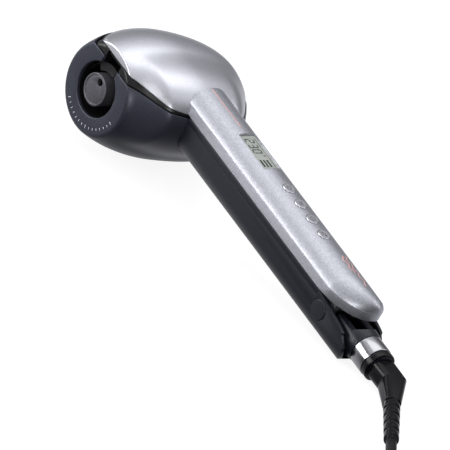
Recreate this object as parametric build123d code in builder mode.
from build123d import *

"""Automatic hair curler: two hinged arms that close a round head over a heated barrel.

Working frame, in millimetres: X runs from the chamber axis towards the tail of the
handle, Y from the flat face of the head into the head, Z up through the upper arm.
The finished pieces are then pitched about Y so that the head and the tail collar both
stand on Z = 0, with the origin under the middle of the tool's box.
"""
import math
import os

# --- head: sections square to Y, each a circle with a shoulder towards the handle ---
HEAD_RADIUS = 38.6
HEAD_WAIST = 39.4           # depth of the largest section
FACE_RADIUS = 28.0          # section radius at the flat face, before its edge is rounded
FRONT_POWER = 1.81
BACK_LENGTH = 48.1          # from the waist to the far end of the dome
BACK_POWER = 1.97
BACK_ROOT = 5.94
LEAN_LINEAR = 0.028         # the section centre drifts towards the handle with depth
LEAN_SQUARE = 0.0017
FACE_EDGE = 1.4             # rounding of the flat face's edge
SHOULDER_GAIN = 0.453
SHOULDER_ANGLE = 24.5       # degrees above the handle's direction
SHOULDER_SPREAD = 58.5
SHOULDER_START = 0.5
SHOULDER_FULL = 16.4
SHOULDER_FADE = 59.3
SHOULDER_LEFT = 0.05        # share of the shoulder that is left at the far end
HEAD_WALL = 2.4
HEAD_SLICES = (0, 0.7, 3, 10, 20, 30, 39.4, 50, 60, 70, 78, 83, 86.4)

# --- jaw ---
SILVER_Z = 24.1             # underside of the upper shell and of the upper arm
JAW_Z = 19.7                # top of the lower jaw at the flat face
JAW_RISE_X = 18.0           # from here the lower jaw rises towards the handle
JAW_END_X = 52.0
JAW_END_Z = 22.3
JAW_GAP = 0.3
SILVER_FACE_Y = 1.8         # front end of the upper shell
DECK_THICK = 2.0

# --- chamber, barrel and drive ---
OPENING_RADIUS = 16.9
SLOT_HALF = 7.4
LINER_INNER = 17.2
LINER_OUTER = 18.6
CHAMBER_END = 54.0
BARREL_RADIUS = 10.0
BARREL_WALL = 1.4
BARREL_FRONT = -1.0
BARREL_END = 71.0
CAP_HOLE_RADIUS = 2.3
PLATE_THICK = 3.0
RUNNING = 0.05              # radial clearance of shafts in their bores
MODULE = 1.0
ROTOR_TEETH = 32
IDLER_TEETH = 20
PINION_TEETH = 10
GEAR_FRONT = 60.5
GEAR_WIDTH = 4.0
IDLER_ANGLE = 12.0          # direction of the idler from the rotor axis
PINION_ANGLE = -86.0        # direction of the pinion from the idler axis
MOTOR_RADIUS = 8.0
MOTOR_FLAT = 6.3            # half height between the motor's flats
MOTOR_LENGTH = 28.0

# --- handle ---
ARM_Y = 41.5                # middle plane of both arms
UPPER_HALF = 16.0           # half width of the upper arm at its underside
BELT_HALF = 15.2            # half width at the crease over the side wall
BELT_Z = 29.8
CREST_Z = 38.9
NOSE_X = 42.3
NOSE_CORNER = 5.7
TAIL_BEND_X = 200.0         # the near side starts to round here
TAIL_TIP_X = 231.0
TAIL_TIP_Y = 49.0           # the tip lies off the middle plane
TAIL_ROUND = 0.293          # how far the middle of the rounding stands in from its corner
ARM_WALL = 1.8
LOWER_HALF = 16.2
LOWER_WAIST_HALF = 15.8
LOWER_WAIST_Z = 12.2
LOWER_FLOOR_HALF = 8.5
LOWER_FLOOR_Z = -1.0
LOWER_TOP_Z = 23.8
GROOVE_Z = 20.3             # parting line of the lower arm's cover
LOWER_START_X = 50.0
LOWER_END_X = 242.0
TAIL_FLOOR_X = 231.0        # the floor ends here
TAIL_SIDE = ((238.6, 2.0), (240.8, 7.5), (239.0, 13.0), (234.6, 17.0))
TAIL_ROUND_TOP = (228.0, 19.8)
TAIL_DROP_X = 204.0         # the top starts to fall here
COVER_END_X = 203.0
LOWER_WALL = 2.0

# --- display and buttons ---
WINDOW_X = (82.4, 113.2)
WINDOW_HALF = 6.5
WINDOW_TOP_Z = 37.0
BUTTON_X = (131.2, 144.7, 158.2, 171.7)
BUTTON_NAMES = ("power_button", "heat_button", "timer_button", "direction_button")
BUTTON_RADIUS = 4.05
BUTTON_TOP_Z = 39.2
BUTTON_TRAVEL = 0.8
BUTTON_FLANGE_Z = 34.8      # underside of the buttons' flanges
BUTTON_FLANGE = 0.9
BOARD_Z = 30.6
BOARD_THICK = 1.6

# --- hinge ---
HINGE_X = 210.0
HINGE_Z = 14.5
HINGE_PIN_RADIUS = 2.0
HINGE_LUG_RADIUS = 5.5
HINGE_CAP_RADIUS = 6.3
LUG_Y = (31.0, 48.5)
LUG_THICK = 3.5

# --- tail collar and swivel ---
NECK_Z = 13.2
NECK_START_X = 219.0
NECK_RADIUS = 11.3
NECK_FLAT_Z = 19.6
RING_X = (242.9, 254.7)
RING_RADIUS = 10.5
LIP_RADIUS = 10.2
LIP_END_X = 259.2
SLEEVE_RADIUS = 8.6
STEM_RADIUS = 6.0
ELBOW_X = 273.1             # where the swivel's two directions meet
ELBOW_WIDE = 16.0
ELBOW_TALL = 13.0
ELBOW_LEG = 25.5            # from the corner to the ribbed boot
BOOT_LENGTH = 45.0
BOOT_RADIUS = 5.0
BOOT_RIBS = 5
BOOT_TURN = 37.4            # degrees between the collar axis and the boot, seen from above
BOOT_CLIMB = 5.0            # degrees, keeps the boot just over the ground

# --- standing pose ---
LEAN_CENTRE_X = 3.74        # section centre over the head's lowest point

# --- mains lead ---
CORD_DIAMETER = 6.5
COIL_MEAN_RADIUS = 39.0     # 12 cord diameters across the middle of the turns
COIL_WIDE = 32.5            # five turns side by side
COIL_TALL = 13.0            # and two layers
COIL_CENTRE = (264.0, -38.0)
LEAD_ROUTE = ((195.7, -53.9, 3.7), (210.7, -64.9, 3.3), (226.1, -75.4, 3.25), (242.0, -85.0, 3.25))
TAIL_ROUTE = ((316.0, -38.0, 9.75), (317.0, -17.2, 9.4), (316.5, 5.8, 8.4), (306.7, 22.7, 7.3),
              (289.8, 32.5, 6.9), (272.0, 33.0, 6.9))
PLUG_RELIEF = 18.0
PLUG_LONG = 28.0
PLUG_WIDE = 27.0
PLUG_TALL = 13.6
PIN_RADIUS = 2.0
PIN_LONG = 17.0
PIN_PITCH = 18.6


def ease(low, high, value):
    """Smooth step from 0 to 1."""
    share = min(max((value - low) / (high - low), 0.0), 1.0)
    return share * share * (3 - 2 * share)


def head_radius(depth):
    """Section radius of the head at a depth from the flat face."""
    if depth < HEAD_WAIST:
        length = HEAD_WAIST / (1 - (FACE_RADIUS / HEAD_RADIUS) ** FRONT_POWER) ** (1 / FRONT_POWER)
        share = (HEAD_WAIST - depth) / length
        radius = HEAD_RADIUS * (1 - share**FRONT_POWER) ** (1 / FRONT_POWER)
    else:
        share = (depth - HEAD_WAIST) / BACK_LENGTH
        radius = HEAD_RADIUS * (1 - share**BACK_POWER) ** (1 / BACK_ROOT)
    if depth < FACE_EDGE:
        radius -= FACE_EDGE * (1 - math.sqrt(1 - (1 - depth / FACE_EDGE) ** 2))
    return radius


def head_centre(depth):
    """How far the section centre lies towards the handle."""
    return LEAN_LINEAR * depth + LEAN_SQUARE * depth * depth


def head_point(depth, degrees, inset):
    """A point (x, z) of the head's outline at a depth, in a direction."""
    back = HEAD_WAIST + BACK_LENGTH
    gain = SHOULDER_GAIN * ease(SHOULDER_START, SHOULDER_FULL, depth)
    gain *= 1 - (1 - SHOULDER_LEFT) * ease(SHOULDER_FADE, back, depth)
    share = min(abs(degrees - SHOULDER_ANGLE) / SHOULDER_SPREAD, 1.0)
    bump = math.cos(math.pi / 2 * share) ** 2
    radius = head_radius(depth) * (1 + gain * bump) - inset
    turn = math.radians(degrees)
    return (head_centre(depth) + radius * math.cos(turn), radius * math.sin(turn))


def head_form(inset):
    """The whole head as a solid, drawn in by an inset on every side."""
    with BuildPart() as form:
        for depth in HEAD_SLICES:
            place = inset + depth * (1 - 2 * inset / HEAD_SLICES[-1])
            with BuildSketch(Plane.XZ.offset(-place)):
                with BuildLine():
                    Spline(*[head_point(depth, turn, inset) for turn in range(-168, 192, 18)],
                           periodic=True)
                make_face()
        loft()
    return form.part


def jaw_block(height, far=110.0):
    """Everything under the lower jaw's top surface, raised by a height."""
    with BuildPart() as block:
        with BuildSketch(Plane.XZ.offset(10)):
            with BuildLine():
                Polyline((-60, -60), (90, -60), (90, JAW_END_Z + height),
                         (JAW_END_X, JAW_END_Z + height), (JAW_RISE_X, JAW_Z + height),
                         (-60, JAW_Z + height), close=True)
            make_face()
        extrude(amount=-far)
    return block.part


def upper_arm_form(inset):
    """The upper arm as a solid: straight side walls under an arched top."""
    half, belt, crest = UPPER_HALF - inset, BELT_HALF - inset, CREST_Z - inset
    with BuildPart() as form:
        with BuildSketch(Plane.YZ.offset(NOSE_X)):
            with BuildLine():
                Polyline((ARM_Y - belt, BELT_Z), (ARM_Y - half, SILVER_Z),
                         (ARM_Y + half, SILVER_Z), (ARM_Y + belt, BELT_Z))
                ThreePointArc((ARM_Y + belt, BELT_Z), (ARM_Y, crest), (ARM_Y - belt, BELT_Z))
            make_face()
        extrude(amount=TAIL_TIP_X - NOSE_X)
        near, far, nose, tip = ARM_Y - half, ARM_Y + half, NOSE_X + inset, TAIL_TIP_X - inset
        corner, tip_corner = NOSE_CORNER - inset, ARM_Y + UPPER_HALF - TAIL_TIP_Y - inset
        with BuildSketch(Plane.XY.offset(SILVER_Z)):
            with BuildLine():
                Line((nose + corner, near), (TAIL_BEND_X, near))
                Spline((TAIL_BEND_X, near),
                       (tip - TAIL_ROUND * (tip - TAIL_BEND_X), near + TAIL_ROUND * (TAIL_TIP_Y - near)),
                       (tip, TAIL_TIP_Y), tangents=((1, 0), (0, 1)))
                CenterArc((tip - tip_corner, TAIL_TIP_Y), tip_corner, 0, 90)
                Line((tip - tip_corner, far), (nose + corner, far))
                CenterArc((nose + corner, far - corner), corner, 90, 90)
                Line((nose, far - corner), (nose, near + corner))
                CenterArc((nose + corner, near + corner), corner, 180, 90)
            make_face()
        extrude(amount=CREST_Z, mode=Mode.INTERSECT)
    return form.part


def lower_arm_section(inset, start):
    """A straight length of the lower arm: flat floor, rounded lower sides, upright walls."""
    half, waist = LOWER_HALF - inset, LOWER_WAIST_HALF - inset
    floor_half, floor_z = LOWER_FLOOR_HALF - inset / 2, LOWER_FLOOR_Z + inset
    with BuildPart() as section:
        with BuildSketch(Plane.YZ.offset(start)):
            with BuildLine():
                Polyline((ARM_Y - waist, LOWER_WAIST_Z), (ARM_Y - half, LOWER_TOP_Z),
                         (ARM_Y + half, LOWER_TOP_Z), (ARM_Y + waist, LOWER_WAIST_Z))
                for side in (1, -1):
                    ThreePointArc((ARM_Y + side * waist, LOWER_WAIST_Z),
                                  (ARM_Y + side * (waist - 2.4), LOWER_WAIST_Z / 4 + inset * 0.8),
                                  (ARM_Y + side * floor_half, floor_z))
                Line((ARM_Y - floor_half, floor_z), (ARM_Y + floor_half, floor_z))
            make_face()
        extrude(amount=LOWER_END_X - start)
    return section.part


def lower_arm_form(start):
    """The lower arm as a solid with its rounded tail."""
    with BuildPart() as form:
        add(lower_arm_section(0, start))
        # seen from the side: the tail is rounded, and its top falls away behind the hinge
        with BuildSketch(Plane.XZ):
            with BuildLine():
                Polyline((start - 1, LOWER_TOP_Z), (start - 1, LOWER_FLOOR_Z), (TAIL_FLOOR_X, LOWER_FLOOR_Z))
                Spline((TAIL_FLOOR_X, LOWER_FLOOR_Z), *TAIL_SIDE, TAIL_ROUND_TOP,
                       tangents=((1, 0), (-1, 0.17)))
                Polyline(TAIL_ROUND_TOP, (TAIL_DROP_X, LOWER_TOP_Z), (start - 1, LOWER_TOP_Z))
            make_face()
        extrude(amount=-100, mode=Mode.INTERSECT)
    return form.part


def gear_outline(teeth, phase):
    """Closed outline of a spur gear with short trapezoid teeth, a tooth at the phase angle."""
    pitch = MODULE * teeth / 2
    steps = ((pitch - 1.3 * MODULE, 1.08), (pitch, 0.70), (pitch + 0.8 * MODULE, 0.40))
    outline = []
    for tooth in range(teeth):
        middle = math.radians(phase + 360 * tooth / teeth)
        flanks = [(radius, -half) for radius, half in steps]
        flanks += [(radius, half) for radius, half in reversed(steps)]
        for radius, half in flanks:
            turn = middle + half * MODULE / radius
            outline.append((radius * math.cos(turn), radius * math.sin(turn)))
    return outline


pieces = {}


def keep(builder, name):
    """Label a finished piece and keep it for export."""
    builder.part.label = name
    pieces[name] = builder.part


head_outer = head_form(0)
head_inner = head_form(HEAD_WALL)
upper_outer = upper_arm_form(0)
upper_inner = upper_arm_form(ARM_WALL)
lower_outer = lower_arm_form(LOWER_START_X)
lower_inner = lower_arm_section(LOWER_WALL, LOWER_START_X)

# ------------------------------------------------------------------ lower head
with BuildPart() as lower_head_shell:
    add(head_outer)
    add(lower_arm_section(0, LOWER_START_X), mode=Mode.SUBTRACT)
    add(head_inner, mode=Mode.SUBTRACT)
    add(jaw_block(0), mode=Mode.INTERSECT)
    with BuildSketch(Plane.XZ.offset(5)):
        Circle(OPENING_RADIUS)
        with Locations((0, 20)):
            Rectangle(2 * SLOT_HALF, 40)
    extrude(amount=-12, mode=Mode.SUBTRACT)
keep(lower_head_shell, "lower_head_shell")

with BuildPart() as lower_jaw_deck:
    add(head_form(HEAD_WALL + 0.1))
    add(lower_arm_section(0, LOWER_START_X), mode=Mode.SUBTRACT)
    add(jaw_block(0), mode=Mode.INTERSECT)
    add(jaw_block(-DECK_THICK), mode=Mode.SUBTRACT)
    with BuildSketch(Plane.XZ.offset(5)):
        with Locations((0, 20)):
            Rectangle(2 * SLOT_HALF, 20)
    extrude(amount=-(CHAMBER_END + 5), mode=Mode.SUBTRACT)
keep(lower_jaw_deck, "lower_jaw_deck")

with BuildPart() as chamber_liner:
    with BuildSketch(Plane.XZ.offset(-(HEAD_WALL + 0.1))):
        Circle(LINER_OUTER)
        Circle(LINER_INNER, mode=Mode.SUBTRACT)
        with Locations((0, 20)):
            Rectangle(2 * SLOT_HALF, 40, mode=Mode.SUBTRACT)
    extrude(amount=-(CHAMBER_END - HEAD_WALL - 0.1))
keep(chamber_liner, "chamber_liner")

# ------------------------------------------------------------------ barrel
with BuildPart() as heated_barrel:
    with BuildSketch(Plane.XZ.offset(-BARREL_FRONT)):
        Circle(BARREL_RADIUS)
        Circle(BARREL_RADIUS - BARREL_WALL, mode=Mode.SUBTRACT)
    extrude(amount=-(BARREL_END - BARREL_FRONT))
keep(heated_barrel, "heated_barrel")

with BuildPart() as barrel_cap:
    with BuildSketch(Plane.XZ.offset(-BARREL_FRONT - 0.3)):
        Circle(BARREL_RADIUS - BARREL_WALL - 0.02)
        with Locations((0.7, 5.9)):
            Circle(CAP_HOLE_RADIUS, mode=Mode.SUBTRACT)
    extrude(amount=-3)
keep(barrel_cap, "barrel_cap")

with BuildPart() as heater_core:
    with BuildSketch(Plane.XZ.offset(-8)):
        RectangleRounded(11, 5, 1)
    extrude(amount=-48)
keep(heater_core, "heater_core")

with BuildPart() as heater_clamps:
    with BuildSketch(Plane.XZ.offset(-10)):
        for side in (1, -1):
            with Locations((0, side * 5.2)):
                Rectangle(9, 5.2)
        Circle(BARREL_RADIUS - BARREL_WALL - 0.1, mode=Mode.INTERSECT)
    extrude(amount=-44)
keep(heater_clamps, "heater_clamps")

with BuildPart() as thermal_fuse:
    with BuildSketch(Plane.XZ.offset(-60)):
        with Locations((0, 3)):
            Circle(1.7)
    extrude(amount=-9)
keep(thermal_fuse, "thermal_fuse")

with BuildPart() as temperature_sensor:
    with BuildSketch(Plane.XZ.offset(-59)):
        with Locations((-4, -3)):
            Circle(1.2)
    extrude(amount=-5)
    fillet(temperature_sensor.faces().sort_by(Axis.Y)[0].edges(), 1.0)
keep(temperature_sensor, "temperature_sensor")

# ------------------------------------------------------------------ drive
rotor_pitch = MODULE * ROTOR_TEETH / 2
idler_pitch = MODULE * IDLER_TEETH / 2
pinion_pitch = MODULE * PINION_TEETH / 2
idler_reach = rotor_pitch + idler_pitch
idler_x = idler_reach * math.cos(math.radians(IDLER_ANGLE))
idler_z = idler_reach * math.sin(math.radians(IDLER_ANGLE))
pinion_reach = idler_pitch + pinion_pitch
pinion_x = idler_x + pinion_reach * math.cos(math.radians(PINION_ANGLE))
pinion_z = idler_z + pinion_reach * math.sin(math.radians(PINION_ANGLE))
rotor_phase = IDLER_ANGLE
idler_phase = IDLER_ANGLE + 180 - 180 / IDLER_TEETH
idler_step = 360 / IDLER_TEETH
pinion_step = 360 / PINION_TEETH
idler_share = ((PINION_ANGLE - idler_phase) / idler_step) % 1
pinion_phase = PINION_ANGLE + 180 - pinion_step * (0.5 - idler_share)

HUB_INNER = 11.0
HUB_OUTER = 12.5
BUSH_OUTER = 14.6

with BuildPart() as curl_rotor:
    # drive gear behind the chamber
    with BuildSketch(Plane.XZ.offset(-GEAR_FRONT)):
        with BuildLine():
            Polyline(*gear_outline(ROTOR_TEETH, rotor_phase), close=True)
        make_face()
        Circle(HUB_INNER, mode=Mode.SUBTRACT)
    extrude(amount=-GEAR_WIDTH)
    # hub through the bearing
    with BuildSketch(Plane.XZ.offset(-50)):
        Circle(HUB_OUTER)
        Circle(HUB_INNER, mode=Mode.SUBTRACT)
    extrude(amount=-(GEAR_FRONT - 50))
    # back ring, winding wall and hook
    with BuildSketch(Plane.XZ.offset(-50)):
        Circle(LINER_INNER - 0.6)
        Circle(HUB_INNER, mode=Mode.SUBTRACT)
    extrude(amount=-2.5)
    with BuildSketch(Plane.XZ.offset(-5)):
        with BuildLine():
            CenterArc((0, 0), 16.6, 78, 90)
            CenterArc((0, 0), 15.4, 78, 90)
            for turn in (78, 168):
                PolarLine((15.4 * math.cos(math.radians(turn)), 15.4 * math.sin(math.radians(turn))),
                          1.2, turn)
        make_face()
    extrude(amount=-46)
    with BuildSketch(Plane.XZ.offset(-5)):
        with BuildLine():
            CenterArc((0, 0), 15.6, 78, 60)
            CenterArc((0, 0), 11.2, 78, 60)
            for turn in (78, 138):
                PolarLine((11.2 * math.cos(math.radians(turn)), 11.2 * math.sin(math.radians(turn))),
                          4.4, turn)
        make_face()
    extrude(amount=-2)
keep(curl_rotor, "curl_rotor")

with BuildPart() as rotor_bush:
    with BuildSketch(Plane.XZ.offset(-CHAMBER_END)):
        Circle(BUSH_OUTER)
        Circle(HUB_OUTER + RUNNING, mode=Mode.SUBTRACT)
    extrude(amount=-(PLATE_THICK + 1))
keep(rotor_bush, "rotor_bush")

with BuildPart() as drive_plate:
    with BuildSketch(Plane.XZ.offset(-CHAMBER_END)):
        Circle(24)
        with Locations((pinion_x, pinion_z)):
            Circle(12)
        with Locations((idler_x, idler_z)):
            Circle(6)
        with Locations((-4, -18)):
            Circle(14)
        Circle(BUSH_OUTER + 0.02, mode=Mode.SUBTRACT)
        with Locations((pinion_x, pinion_z)):
            Circle(4, mode=Mode.SUBTRACT)
        with Locations((idler_x, idler_z)):
            Circle(1.5, mode=Mode.SUBTRACT)
    extrude(amount=-PLATE_THICK)
    add(jaw_block(-DECK_THICK - 0.2), mode=Mode.INTERSECT)
    add(head_form(HEAD_WALL + 0.3), mode=Mode.INTERSECT)
keep(drive_plate, "drive_plate")

with BuildPart() as drive_motor:
    with BuildSketch(Plane.XZ.offset(-(CHAMBER_END - MOTOR_LENGTH - 0.1))):
        with Locations((pinion_x, pinion_z)):
            Circle(MOTOR_RADIUS)
            Rectangle(2 * MOTOR_RADIUS, 2 * MOTOR_FLAT, mode=Mode.INTERSECT)
    extrude(amount=-MOTOR_LENGTH)
    with BuildSketch(Plane.XZ.offset(-(CHAMBER_END - MOTOR_LENGTH - 2))):
        with Locations((pinion_x, pinion_z)):
            Circle(3)
    extrude(amount=-(MOTOR_LENGTH + 3))
    with BuildSketch(Plane.XZ.offset(0)):
        with Locations((pinion_x, pinion_z)):
            Circle(1.0 + RUNNING)
    extrude(amount=-100, mode=Mode.SUBTRACT)
keep(drive_motor, "drive_motor")

with BuildPart() as motor_pinion:
    with BuildSketch(Plane(origin=(pinion_x, GEAR_FRONT, pinion_z), z_dir=(0, -1, 0), x_dir=(1, 0, 0))):
        with BuildLine():
            Polyline(*gear_outline(PINION_TEETH, pinion_phase), close=True)
        make_face()
    extrude(amount=-GEAR_WIDTH)
    with BuildSketch(Plane.XZ.offset(-30)):
        with Locations((pinion_x, pinion_z)):
            Circle(1.0)
    extrude(amount=-(GEAR_FRONT + GEAR_WIDTH - 30))
keep(motor_pinion, "motor_pinion")

with BuildPart() as idler_gear:
    with BuildSketch(Plane(origin=(idler_x, GEAR_FRONT, idler_z), z_dir=(0, -1, 0), x_dir=(1, 0, 0))):
        with BuildLine():
            Polyline(*gear_outline(IDLER_TEETH, idler_phase), close=True)
        make_face()
        Circle(1.5 + RUNNING, mode=Mode.SUBTRACT)
    extrude(amount=-GEAR_WIDTH)
keep(idler_gear, "idler_gear")

with BuildPart() as idler_pin:
    with BuildSketch(Plane.XZ.offset(-CHAMBER_END)):
        with Locations((idler_x, idler_z)):
            Circle(1.5)
    extrude(amount=-(GEAR_FRONT + GEAR_WIDTH + 1.5 - CHAMBER_END))
    with BuildSketch(Plane.XZ.offset(-(GEAR_FRONT + GEAR_WIDTH + 0.5))):
        with Locations((idler_x, idler_z)):
            Circle(2.6)
    extrude(amount=-1.2)
keep(idler_pin, "idler_pin")

with BuildPart() as barrel_bracket:
    with BuildSketch(Plane.XZ.offset(-68)):
        with Locations((2, 0)):
            Circle(16.8)
        with Locations((0, -16)):
            Rectangle(12, 12)
        Circle(BARREL_RADIUS + 0.02, mode=Mode.SUBTRACT)
    extrude(amount=-2.5)
keep(barrel_bracket, "barrel_bracket")

# ------------------------------------------------------------------ upper head
with BuildPart() as upper_head_shell:
    add(head_outer)
    add(head_inner, mode=Mode.SUBTRACT)
    with BuildSketch(Plane.XY.offset(SILVER_Z)):
        with Locations((10, SILVER_FACE_Y + 60)):
            Rectangle(160, 120)
    extrude(amount=30, mode=Mode.INTERSECT)
    add(upper_outer, mode=Mode.SUBTRACT)
keep(upper_head_shell, "upper_head_shell")

with BuildPart() as upper_jaw_liner:
    add(head_form(1.0))
    add(jaw_block(JAW_GAP), mode=Mode.SUBTRACT)
    with BuildSketch(Plane.XY):
        with Locations((5, 50)):
            Rectangle(2 * (JAW_END_X - 5 - 0.7), 120)
    extrude(amount=SILVER_Z - 0.05, mode=Mode.INTERSECT)
    with BuildSketch(Plane.XY.offset(10)):
        with Locations((0, CHAMBER_END / 2)):
            Rectangle(2 * SLOT_HALF, CHAMBER_END + 4)
    extrude(amount=30, mode=Mode.SUBTRACT)
keep(upper_jaw_liner, "upper_jaw_liner")

with BuildPart() as hair_guide:
    with BuildSketch(Plane.XY.offset(SILVER_Z - 1.6)):
        with Locations((0, CHAMBER_END / 2 + 0.5)):
            Rectangle(2 * SLOT_HALF - 0.4, CHAMBER_END - 4)
    extrude(amount=1.5)
    with BuildSketch(Plane.XY.offset(SILVER_Z - 2.2)):
        for row in range(6):
            with Locations((0, 7 + 8.5 * row)):
                Rectangle(2 * SLOT_HALF - 4, 1.6)
    extrude(amount=1)
keep(hair_guide, "hair_guide")

# ------------------------------------------------------------------ upper arm
with BuildPart() as upper_arm_top:
    add(upper_outer)
    add(upper_inner, mode=Mode.SUBTRACT)
    with BuildSketch(Plane.XY.offset(BELT_Z + 0.05)):
        with Locations((140, ARM_Y)):
            Rectangle(240, 60)
    extrude(amount=20, mode=Mode.INTERSECT)
    with BuildSketch(Plane.XY.offset(BELT_Z)):
        with Locations((sum(WINDOW_X) / 2, ARM_Y)):
            RectangleRounded(WINDOW_X[1] - WINDOW_X[0], 2 * WINDOW_HALF, 1.2)
        with Locations(*[(x, ARM_Y) for x in BUTTON_X]):
            Circle(BUTTON_RADIUS + 0.2)
    extrude(amount=20, mode=Mode.SUBTRACT)
keep(upper_arm_top, "upper_arm_top")

with BuildPart() as upper_arm_belt:
    add(upper_outer)
    with BuildSketch(Plane.XY.offset(SILVER_Z)):
        with Locations((140, ARM_Y)):
            Rectangle(240, 60)
    extrude(amount=BELT_Z - SILVER_Z, mode=Mode.INTERSECT)
    add(upper_inner.moved(Location((0, 0, 2))), mode=Mode.SUBTRACT)
    # lugs that reach down to the hinge pin
    for lug in LUG_Y:
        with BuildSketch(Plane.XZ.offset(-lug)):
            with BuildLine():
                CenterArc((HINGE_X, HINGE_Z), HINGE_LUG_RADIUS, 180, 180)
                Polyline((HINGE_X + HINGE_LUG_RADIUS, HINGE_Z), (HINGE_X + HINGE_LUG_RADIUS, SILVER_Z + 1),
                         (HINGE_X - HINGE_LUG_RADIUS, SILVER_Z + 1), (HINGE_X - HINGE_LUG_RADIUS, HINGE_Z))
            make_face()
            with Locations((HINGE_X, HINGE_Z)):
                Circle(HINGE_PIN_RADIUS + RUNNING, mode=Mode.SUBTRACT)
        extrude(amount=-LUG_THICK)
keep(upper_arm_belt, "upper_arm_belt")

with BuildPart() as display_module:
    with BuildSketch(Plane.XY.offset(BOARD_Z + BOARD_THICK)):
        with Locations((sum(WINDOW_X) / 2, ARM_Y)):
            Rectangle(WINDOW_X[1] - WINDOW_X[0] - 0.6, 2 * WINDOW_HALF - 0.6)
    extrude(amount=WINDOW_TOP_Z - 1.4 - BOARD_Z - BOARD_THICK)
keep(display_module, "display_module")

with BuildPart() as display_window:
    with BuildSketch(Plane.XY.offset(WINDOW_TOP_Z - 1.2)):
        with Locations((sum(WINDOW_X) / 2, ARM_Y)):
            RectangleRounded(WINDOW_X[1] - WINDOW_X[0] - 0.3, 2 * WINDOW_HALF - 0.3, 1.0)
    extrude(amount=1.2)
keep(display_window, "display_window")

with BuildPart() as control_board:
    with BuildSketch(Plane.XY.offset(BOARD_Z)):
        with Locations((129, ARM_Y)):
            RectangleRounded(106, 19, 1)
    extrude(amount=BOARD_THICK)
keep(control_board, "control_board")

with BuildPart() as button_switches:
    with BuildSketch(Plane.XY.offset(BOARD_Z + BOARD_THICK)):
        with Locations(*[(x, ARM_Y) for x in BUTTON_X]):
            RectangleRounded(6, 6, 0.6)
    extrude(amount=0.7)
    with BuildSketch(Plane.XY.offset(BOARD_Z + BOARD_THICK)):
        with Locations(*[(x, ARM_Y) for x in BUTTON_X]):
            Circle(1.7)
    extrude(amount=1.5)
keep(button_switches, "button_switches")

with BuildPart() as beeper:
    with BuildSketch(Plane.XY.offset(BOARD_Z - 2.6)):
        with Locations((178, ARM_Y)):
            Circle(4.5)
    extrude(amount=2.5)
keep(beeper, "beeper")

with BuildPart() as closing_magnet:
    with BuildSketch(Plane.XY.offset(SILVER_Z + 2.05)):
        with Locations((190, ARM_Y)):
            Rectangle(8, 5)
    extrude(amount=2.5)
keep(closing_magnet, "closing_magnet")

for x, name in zip(BUTTON_X, BUTTON_NAMES):
    with BuildPart() as button:
        with BuildSketch(Plane.XY.offset(BUTTON_FLANGE_Z)):
            with Locations((x, ARM_Y)):
                Circle(BUTTON_RADIUS + 1.0)
        extrude(amount=BUTTON_FLANGE)
        with BuildSketch(Plane.XY.offset(BUTTON_FLANGE_Z)):
            with Locations((x, ARM_Y)):
                Circle(BUTTON_RADIUS)
        extrude(amount=BUTTON_TOP_Z - BUTTON_FLANGE_Z)
        fillet(button.faces().sort_by(Axis.Z)[-1].edges(), 0.5)
    keep(button, name)

# ------------------------------------------------------------------ lower arm
with BuildPart() as lower_arm_shell:
    add(lower_outer)
    add(lower_inner, mode=Mode.SUBTRACT)
    # room for the cover, which ends short of the hinge
    with BuildSketch(Plane.XY.offset(GROOVE_Z)):
        with Locations((COVER_END_X - 100, ARM_Y)):
            Rectangle(200.1, 60)
    extrude(amount=20, mode=Mode.SUBTRACT)
    # hinge pin bores
    with BuildSketch(Plane.XZ):
        with Locations((HINGE_X, HINGE_Z)):
            Circle(HINGE_PIN_RADIUS + 0.01)
    extrude(amount=-90, mode=Mode.SUBTRACT)
    # seats of the hinge caps
    with BuildSketch(Plane.XZ):
        with Locations((HINGE_X, HINGE_Z)):
            Circle(HINGE_CAP_RADIUS + 0.15)
    extrude(amount=-(ARM_Y - LOWER_HALF + 1.2), mode=Mode.SUBTRACT)
    with BuildSketch(Plane.XZ.offset(-90)):
        with Locations((HINGE_X, HINGE_Z)):
            Circle(HINGE_CAP_RADIUS + 0.15)
    extrude(amount=90 - ARM_Y - LOWER_HALF + 1.2, mode=Mode.SUBTRACT)
keep(lower_arm_shell, "lower_arm_shell")

with BuildPart() as lower_arm_cover:
    add(lower_arm_form(JAW_END_X + 0.1))
    with BuildSketch(Plane.XY.offset(GROOVE_Z + 0.05)):
        with Locations(((JAW_END_X + COVER_END_X) / 2, ARM_Y)):
            Rectangle(COVER_END_X - JAW_END_X, 60)
    extrude(amount=20, mode=Mode.INTERSECT)
    # lightened inside
    with BuildSketch(Plane.XY.offset(GROOVE_Z - 1)):
        with Locations((126, ARM_Y)):
            Rectangle(140, 2 * LOWER_HALF - 5)
    extrude(amount=2.6, mode=Mode.SUBTRACT)
keep(lower_arm_cover, "lower_arm_cover")

with BuildPart() as hinge_pin:
    with BuildSketch(Plane.XZ.offset(-(ARM_Y - LOWER_HALF + 1.3))):
        with Locations((HINGE_X, HINGE_Z)):
            Circle(HINGE_PIN_RADIUS)
    extrude(amount=-(2 * LOWER_HALF - 2.6))
keep(hinge_pin, "hinge_pin")

for side, name in ((-1, "hinge_cap_near"), (1, "hinge_cap_far")):
    with BuildPart() as hinge_cap:
        with BuildSketch(Plane.XZ.offset(-(ARM_Y + side * (LOWER_HALF - 1.15)))):
            with Locations((HINGE_X, HINGE_Z)):
                Circle(HINGE_CAP_RADIUS)
        extrude(amount=-side * 1.3)
        outer_face = hinge_cap.faces().sort_by(Axis.Y)[0 if side < 0 else -1]
        fillet(outer_face.edges(), 0.5)
    keep(hinge_cap, name)

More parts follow.
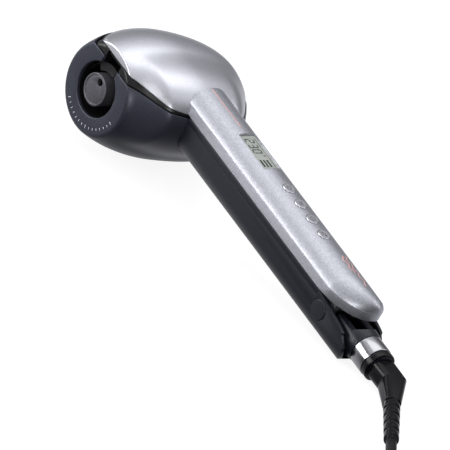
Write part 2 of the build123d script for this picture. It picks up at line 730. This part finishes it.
with BuildPart() as jaw_spring:
    with BuildLine():
        coil_path = Helix(pitch=1.4, height=9.8, radius=3.6, center=(HINGE_X, ARM_Y - 5, HINGE_Z),
                          direction=(0, 1, 0))
    with BuildSketch(Plane(origin=coil_path @ 0, z_dir=coil_path % 0)):
        Circle(0.6)
    sweep()
keep(jaw_spring, "jaw_spring")

with BuildPart() as main_board:
    with BuildSketch(Plane.XY.offset(8)):
        with Locations((128, ARM_Y)):
            RectangleRounded(120, 24, 1)
    extrude(amount=1.6)
keep(main_board, "main_board")

with BuildPart() as board_parts:
    with BuildSketch(Plane.XY.offset(9.6)):
        with Locations((92, ARM_Y)):
            Rectangle(16, 12)
        with Locations((118, ARM_Y + 4)):
            Rectangle(12, 10)
        with Locations((150, ARM_Y - 3)):
            Rectangle(20, 8)
        with Locations((172, ARM_Y + 5)):
            Circle(4)
    extrude(amount=8)
keep(board_parts, "board_parts")

with BuildPart() as closing_sensor:
    with BuildSketch(Plane.XY.offset(GROOVE_Z - 2.2)):
        with Locations((190, ARM_Y)):
            Rectangle(5, 4)
    extrude(amount=2.2)
keep(closing_sensor, "closing_sensor")

with BuildPart() as power_leads:
    with BuildLine():
        leads_path = FilletPolyline((237, ARM_Y, NECK_Z), (218, ARM_Y, 8.2), (204, ARM_Y, 5.6),
                                    (189, ARM_Y, 6.1), radius=5)
    with BuildSketch(Plane(origin=leads_path @ 0, z_dir=leads_path % 0)):
        Circle(1.8)
    sweep()
keep(power_leads, "power_leads")

# ------------------------------------------------------------------ tail collar and swivel
with BuildPart() as tail_neck:
    with BuildSketch(Plane.XZ.offset(-ARM_Y)):
        with BuildLine():
            Polyline((NECK_START_X, NECK_Z + 7.8), (NECK_START_X, NECK_Z + NECK_RADIUS - 1),
                     (NECK_START_X + 4, NECK_Z + NECK_RADIUS), (RING_X[0] - 5, NECK_Z + NECK_RADIUS),
                     (RING_X[0] - 0.05, NECK_Z + RING_RADIUS), (RING_X[0] - 0.05, NECK_Z + SLEEVE_RADIUS),
                     (LIP_END_X, NECK_Z + SLEEVE_RADIUS), (LIP_END_X, NECK_Z + STEM_RADIUS + RUNNING),
                     (241, NECK_Z + STEM_RADIUS + RUNNING), (241, NECK_Z + 7.8), close=True)
        make_face()
    revolve(axis=Axis((0, ARM_Y, NECK_Z), (1, 0, 0)))
    # flat under the tail of the upper arm, which dips as the jaw opens
    with BuildSketch(Plane.XZ):
        with BuildLine():
            Polyline((NECK_START_X - 1, NECK_FLAT_Z), (233, NECK_FLAT_Z), (239, 25.5),
                     (239, 40), (NECK_START_X - 1, 40), close=True)
        make_face()
    extrude(amount=-90, mode=Mode.SUBTRACT)
keep(tail_neck, "tail_neck")

with BuildPart() as ferrule_ring:
    with BuildSketch(Plane.YZ.offset(RING_X[0])):
        with Locations((ARM_Y, NECK_Z)):
            Circle(RING_RADIUS)
            Circle(SLEEVE_RADIUS + 0.02, mode=Mode.SUBTRACT)
    extrude(amount=RING_X[1] - RING_X[0])
keep(ferrule_ring, "ferrule_ring")

with BuildPart() as collar_lip:
    with BuildSketch(Plane.YZ.offset(RING_X[1] + 0.05)):
        with Locations((ARM_Y, NECK_Z)):
            Circle(LIP_RADIUS)
            Circle(SLEEVE_RADIUS + 0.02, mode=Mode.SUBTRACT)
    extrude(amount=LIP_END_X - RING_X[1] - 0.05)
    fillet(collar_lip.faces().sort_by(Axis.X)[-1].edges().sort_by(SortBy.LENGTH)[-1], 0.8)
keep(collar_lip, "collar_lip")

turn, climb = math.radians(BOOT_TURN), math.radians(BOOT_CLIMB)
boot_way = Vector(math.cos(turn) * math.cos(climb), -math.sin(turn) * math.cos(climb), math.sin(climb))
elbow_corner = Vector(ELBOW_X, ARM_Y, NECK_Z)
boot_start = elbow_corner + boot_way * ELBOW_LEG
boot_end = elbow_corner + boot_way * (ELBOW_LEG + BOOT_LENGTH)

with BuildPart() as swivel_stem:
    with BuildSketch(Plane.YZ.offset(238.4)):
        with Locations((ARM_Y, NECK_Z)):
            Circle(7.5)
            Circle(3.6, mode=Mode.SUBTRACT)
    extrude(amount=2)
    with BuildSketch(Plane.YZ.offset(238.4)):
        with Locations((ARM_Y, NECK_Z)):
            Circle(STEM_RADIUS)
            Circle(3.6, mode=Mode.SUBTRACT)
    extrude(amount=LIP_END_X + 0.6 - 238.4)
keep(swivel_stem, "swivel_stem")

with BuildPart() as swivel_elbow:
    half_turn = Vector(1, 0, 0) + boot_way
    with BuildSketch(Plane(origin=(LIP_END_X + 0.65, ARM_Y, NECK_Z), x_dir=(0, 1, 0), z_dir=(1, 0, 0))):
        RectangleRounded(ELBOW_WIDE, ELBOW_TALL, 4.0)
    with BuildSketch(Plane(origin=elbow_corner, x_dir=Vector(0, 0, 1).cross(half_turn), z_dir=half_turn)):
        RectangleRounded(ELBOW_WIDE, ELBOW_TALL, 4.0)
    with BuildSketch(Plane(origin=boot_start, x_dir=Vector(0, 0, 1).cross(boot_way), z_dir=boot_way)):
        RectangleRounded(2 * BOOT_RADIUS, 2 * BOOT_RADIUS, 3.5)
    loft(ruled=True)
keep(swivel_elbow, "swivel_elbow")

boot_plane = Plane(origin=boot_start, x_dir=boot_way, z_dir=boot_way.cross(Vector(0, 0, 1)))
with BuildPart() as cord_boot:
    with BuildSketch(boot_plane):
        with BuildLine():
            rib = BOOT_LENGTH / BOOT_RIBS
            profile = [(0.05, 0)]
            for step in range(BOOT_RIBS):
                radius = BOOT_RADIUS - 0.12 * step
                profile += [(step * rib + 0.05, radius), ((step + 0.72) * rib, radius),
                            ((step + 0.78) * rib, radius - 1.0), ((step + 0.97) * rib, radius - 1.0)]
            profile += [(BOOT_LENGTH, BOOT_RADIUS - 1.5), (BOOT_LENGTH, 0)]
            Polyline(*profile, close=True)
        make_face()
    revolve(axis=Axis(boot_start, boot_way))
keep(cord_boot, "cord_boot")

# ------------------------------------------------------------------ standing pose
centre = Vector(LEAN_CENTRE_X, 0, 0)
touch = Vector(LIP_END_X, 0, NECK_Z - LIP_RADIUS)
reach = (touch - centre).length
PITCH = math.degrees(math.asin(HEAD_RADIUS / reach) + math.atan2(touch.Z, touch.X - centre.X))


pitched = Location((0, 0, 0), (0, PITCH, 0))
boxes = [piece.moved(pitched).bounding_box() for piece in pieces.values()]
middle = [(min(getattr(box.min, axis) for box in boxes) + max(getattr(box.max, axis) for box in boxes)) / 2
          for axis in "XY"]
# the ground touches the head under the centre of its largest section
head_low = -HEAD_RADIUS - LEAN_CENTRE_X * math.sin(math.radians(PITCH))
base = Vector(*middle, head_low)
STAND = Location(-base) * pitched
standing = {name: piece.moved(STAND) for name, piece in pieces.items()}
print("pitch", round(PITCH, 4), "shift", -base)

# ------------------------------------------------------------------ mains lead, on the ground
exit_point = (STAND * Location(boot_end + boot_way * 0.4)).position
exit_way = (STAND * Location(boot_end + boot_way)).position - (STAND * Location(boot_end)).position
print("lead leaves the boot at", exit_point, "towards", exit_way)

with BuildPart() as cord_coil:
    with BuildSketch(Plane.XY):
        with Locations(COIL_CENTRE):
            Circle(COIL_MEAN_RADIUS + COIL_WIDE / 2)
            Circle(COIL_MEAN_RADIUS - COIL_WIDE / 2, mode=Mode.SUBTRACT)
    extrude(amount=COIL_TALL)
    fillet(cord_coil.edges(), 2.5)
cord_coil.part.label = "cord_coil"
standing["cord_coil"] = cord_coil.part


def corner_radii(route):
    """The radius of each arc of a tube: 0.45 of the shorter run over the tangent of half the turn."""
    radii = []
    for before, here, after in zip(route, route[1:], route[2:]):
        run_in, run_out = here - before, after - here
        half = math.radians(run_in.get_angle(run_out) / 2)
        radii.append(0.45 * min(run_in.length, run_out.length) / math.tan(half))
    return radii


def cord_tube(name, points):
    """A plain tube of the lead's diameter along a route, ending at the coil's surface."""
    route = [Vector(*point) for point in points]
    radii = corner_radii(route)
    print(name, "radii", [round(radius) for radius in radii])
    with BuildPart() as tube:
        with BuildLine():
            path = FilletPolyline(*route, radius=radii)
        with BuildSketch(Plane(origin=path @ 0, z_dir=path % 0)):
            Circle(CORD_DIAMETER / 2)
        sweep()
        length = path.length
        print(name, "length", round(length, 1), "volume", round(tube.part.volume),
              "section times length", round(math.pi * CORD_DIAMETER**2 / 4 * length))
        add(cord_coil.part, mode=Mode.SUBTRACT)
    tube.part.label = name
    standing[name] = tube.part


cord_tube("cord_lead", [tuple(exit_point)] + list(LEAD_ROUTE))
cord_tube("cord_tail", TAIL_ROUTE)

plug_start = Vector(*TAIL_ROUTE[-1])


def plug_plane(reach):
    """A plane square to the plug, at a reach from the end of the lead; the pins point to -X."""
    return Plane(origin=plug_start - Vector(reach, 0, 0), x_dir=(0, 1, 0), z_dir=(-1, 0, 0))


with BuildPart() as plug_body:
    with BuildSketch(plug_plane(0.05)):
        Circle(CORD_DIAMETER / 2 + 1.4)
    with BuildSketch(plug_plane(PLUG_RELIEF)):
        RectangleRounded(14, 11, 4)
    loft()
    with BuildSketch(plug_plane(PLUG_RELIEF)):
        RectangleRounded(14, 11, 4)
    with BuildSketch(plug_plane(PLUG_RELIEF + 10)):
        RectangleRounded(PLUG_WIDE, PLUG_TALL, 5)
    loft()
    with BuildSketch(plug_plane(PLUG_RELIEF + 10)):
        RectangleRounded(PLUG_WIDE, PLUG_TALL, 5)
    extrude(amount=PLUG_LONG - 10)
plug_body.part.label = "plug_body"
standing["plug_body"] = plug_body.part

with BuildPart() as plug_pins:
    with BuildSketch(plug_plane(PLUG_RELIEF + PLUG_LONG + 0.02)):
        with GridLocations(PIN_PITCH, 1, 2, 1):
            Circle(PIN_RADIUS)
    extrude(amount=PIN_LONG)
    fillet(plug_pins.faces().sort_by(Axis.X)[:2].edges(), 1.0)
plug_pins.part.label = "plug_pins"
standing["plug_pins"] = plug_pins.part

os.makedirs("parts", exist_ok=True)
for name, piece in standing.items():
    piece.label = name
    export_step(piece, f"parts/{name}.step")
